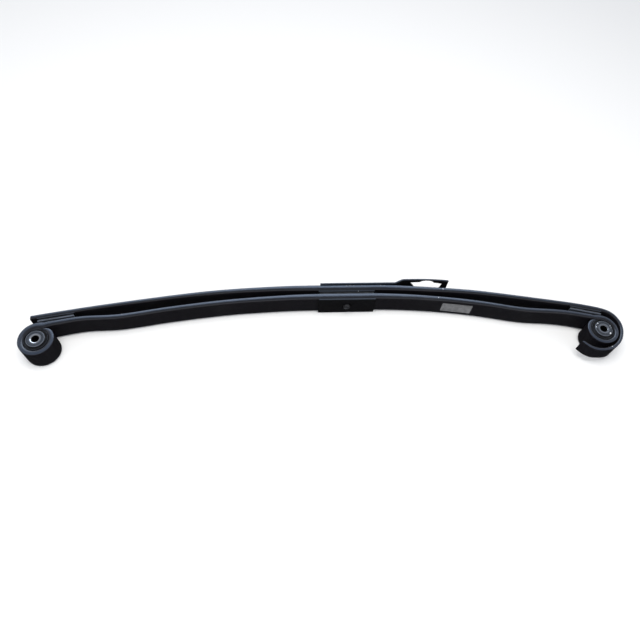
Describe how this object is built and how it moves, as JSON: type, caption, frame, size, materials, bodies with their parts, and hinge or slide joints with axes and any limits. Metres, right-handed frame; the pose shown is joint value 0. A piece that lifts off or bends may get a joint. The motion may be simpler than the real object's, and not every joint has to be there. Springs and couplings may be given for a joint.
{
  "type": "leaf spring",
  "caption": "Parabolic truck leaf spring: two arched flat leaves, rolled eyes with rubber bushes, a wrapped second-leaf end, tip pads and a clamped centre with a stop bracket; the leaves flex.",
  "frame": {"origin": "centre of the end face of the centre bolt's round locating head, at mid-width of the leaves", "axes": "+X along the spring towards the wrapped (front) eye, +Y towards the convex side (down, towards the axle, on the vehicle), +Z across the leaf width and parallel to the eye bores; stored lying on its side"},
  "size_m": [1.7096, 0.2545, 0.077],
  "materials": {
    "leaf_paint": "semi-gloss black spring paint, lightly scuffed",
    "plate_paint": "satin black paint",
    "bracket_paint": "satin black paint",
    "washer_paint": "satin black paint, chipped at the rim",
    "bolt_steel": "phosphated, overpainted",
    "bush_steel": "machined, thin paint overspray",
    "bush_rubber": "matt black rubber",
    "liner_plastic": "dark grey moulded liner",
    "label_foil": "matt grey foil, blank"
  },
  "bodies": {
    "center": {"main_leaf_center": "leaf_paint", "second_leaf_center": "leaf_paint", "center_bolt": "bolt_steel", "center_washer": "bolt_steel", "center_nut": "bolt_steel", "top_clamp_plate": "plate_paint", "center_spacer": "plate_paint", "center_liner": "liner_plastic", "stop_bracket": "bracket_paint"},
    "front_main_1": {"main_leaf_front_1": "leaf_paint", "label": "label_foil"},
    "front_main_2": {"main_leaf_front_2": "leaf_paint"},
    "front_main_3": {"main_leaf_front_3": "leaf_paint", "front_bush_outer_sleeve": "bush_steel", "front_bush_rubber": "bush_rubber"},
    "front_bush": {"front_bush_inner_sleeve": "bush_steel", "front_bush_washer_upper": "washer_paint", "front_bush_washer_lower": "washer_paint"},
    "front_second_1": {"second_leaf_front_1": "leaf_paint"},
    "front_second_2": {"second_leaf_front_2": "leaf_paint"},
    "front_second_3": {"second_leaf_front_3": "leaf_paint", "front_pad_backing": "plate_paint", "front_pad_rubber": "bush_rubber", "front_pad_wear_liner": "liner_plastic", "front_pad_rivet": "bolt_steel"},
    "rear_main_1": {"main_leaf_rear_1": "leaf_paint"},
    "rear_main_2": {"main_leaf_rear_2": "leaf_paint"},
    "rear_main_3": {"main_leaf_rear_3": "leaf_paint", "rear_bush_outer_sleeve": "bush_steel", "rear_bush_rubber": "bush_rubber"},
    "rear_bush": {"rear_bush_inner_sleeve": "bush_steel", "rear_bush_washer_upper": "washer_paint", "rear_bush_washer_lower": "washer_paint"},
    "rear_second_1": {"second_leaf_rear_1": "leaf_paint"},
    "rear_second_2": {"second_leaf_rear_2": "leaf_paint"},
    "rear_second_3": {"second_leaf_rear_3": "leaf_paint", "rear_pad_backing": "plate_paint", "rear_pad_rubber": "bush_rubber", "rear_pad_wear_liner": "liner_plastic", "rear_pad_rivet": "bolt_steel"}
  },
  "joints": [
    {"name": "front_main_flex_1", "type": "hinge", "parent": "center", "child": "front_main_1", "pos_m": [0.193, 0.01462, 0], "axis": [0, 0, 1], "range_deg": [-0.6, 6], "stiffness_Nm_per_rad": 72000},
    {"name": "front_main_flex_2", "type": "hinge", "parent": "front_main_1", "child": "front_main_2", "pos_m": [0.412, -0.01338, 0], "axis": [0, 0, 1], "range_deg": [-0.8, 6.15]},
    {"name": "front_main_flex_3", "type": "hinge", "parent": "front_main_2", "child": "front_main_3", "pos_m": [0.631, -0.04484, 0], "axis": [0, 0, 1], "range_deg": [-0.8, 6.15]},
    {"name": "front_second_flex_1", "type": "hinge", "parent": "center", "child": "front_second_1", "pos_m": [0.1952, 0.0444, 0], "axis": [0, 0, 1], "range_deg": [-0.8, 6.17]},
    {"name": "front_second_flex_2", "type": "hinge", "parent": "front_second_1", "child": "front_second_2", "pos_m": [0.41899, 0.02308, 0], "axis": [0, 0, 1], "range_deg": [-0.8, 6.17]},
    {"name": "front_second_flex_3", "type": "hinge", "parent": "front_second_2", "child": "front_second_3", "pos_m": [0.62934, -0.01181, 0], "axis": [0, 0, 1], "range_deg": [-0.8, 6.17]},
    {"name": "front_bush_twist", "type": "hinge", "parent": "front_main_3", "child": "front_bush", "pos_m": [0.74, -0.106, 0], "axis": [0, 0, 1], "range_deg": [-15, 15], "stiffness_Nm_per_rad": 350},
    {"name": "rear_main_flex_1", "type": "hinge", "parent": "center", "child": "rear_main_1", "pos_m": [-0.213, 0.01579, 0], "axis": [0, 0, -1], "range_deg": [-0.6, 5.2], "stiffness_Nm_per_rad": 61000},
    {"name": "rear_main_flex_2", "type": "hinge", "parent": "rear_main_1", "child": "rear_main_2", "pos_m": [-0.472, -0.00912, 0], "axis": [0, 0, -1], "range_deg": [-0.8, 5.35]},
    {"name": "rear_main_flex_3", "type": "hinge", "parent": "rear_main_2", "child": "rear_main_3", "pos_m": [-0.731, -0.04055, 0], "axis": [0, 0, -1], "range_deg": [-0.8, 5.35]},
    {"name": "rear_second_flex_1", "type": "hinge", "parent": "center", "child": "rear_second_1", "pos_m": [-0.21482, 0.04862, 0], "axis": [0, 0, -1], "range_deg": [-0.8, 5.41]},
    {"name": "rear_second_flex_2", "type": "hinge", "parent": "rear_second_1", "child": "rear_second_2", "pos_m": [-0.47728, 0.02845, 0], "axis": [0, 0, -1], "range_deg": [-0.8, 5.41]},
    {"name": "rear_second_flex_3", "type": "hinge", "parent": "rear_second_2", "child": "rear_second_3", "pos_m": [-0.73857, -0.01022, 0], "axis": [0, 0, -1], "range_deg": [-0.8, 5.41]},
    {"name": "rear_bush_twist", "type": "hinge", "parent": "rear_main_3", "child": "rear_bush", "pos_m": [-0.86, -0.106, 0], "axis": [0, 0, 1], "range_deg": [-15, 15], "stiffness_Nm_per_rad": 350}
  ],
  "couplings": [
    {"joint": "front_main_flex_2", "follows": "front_main_flex_1", "ratio": 1},
    {"joint": "front_main_flex_3", "follows": "front_main_flex_1", "ratio": 1},
    {"joint": "front_second_flex_1", "follows": "front_main_flex_1", "ratio": 1.004},
    {"joint": "front_second_flex_2", "follows": "front_main_flex_1", "ratio": 1.004},
    {"joint": "front_second_flex_3", "follows": "front_main_flex_1", "ratio": 1.004},
    {"joint": "rear_main_flex_2", "follows": "rear_main_flex_1", "ratio": 1},
    {"joint": "rear_main_flex_3", "follows": "rear_main_flex_1", "ratio": 1},
    {"joint": "rear_second_flex_1", "follows": "rear_main_flex_1", "ratio": 1.012},
    {"joint": "rear_second_flex_2", "follows": "rear_main_flex_1", "ratio": 1.012},
    {"joint": "rear_second_flex_3", "follows": "rear_main_flex_1", "ratio": 1.012}
  ]
}
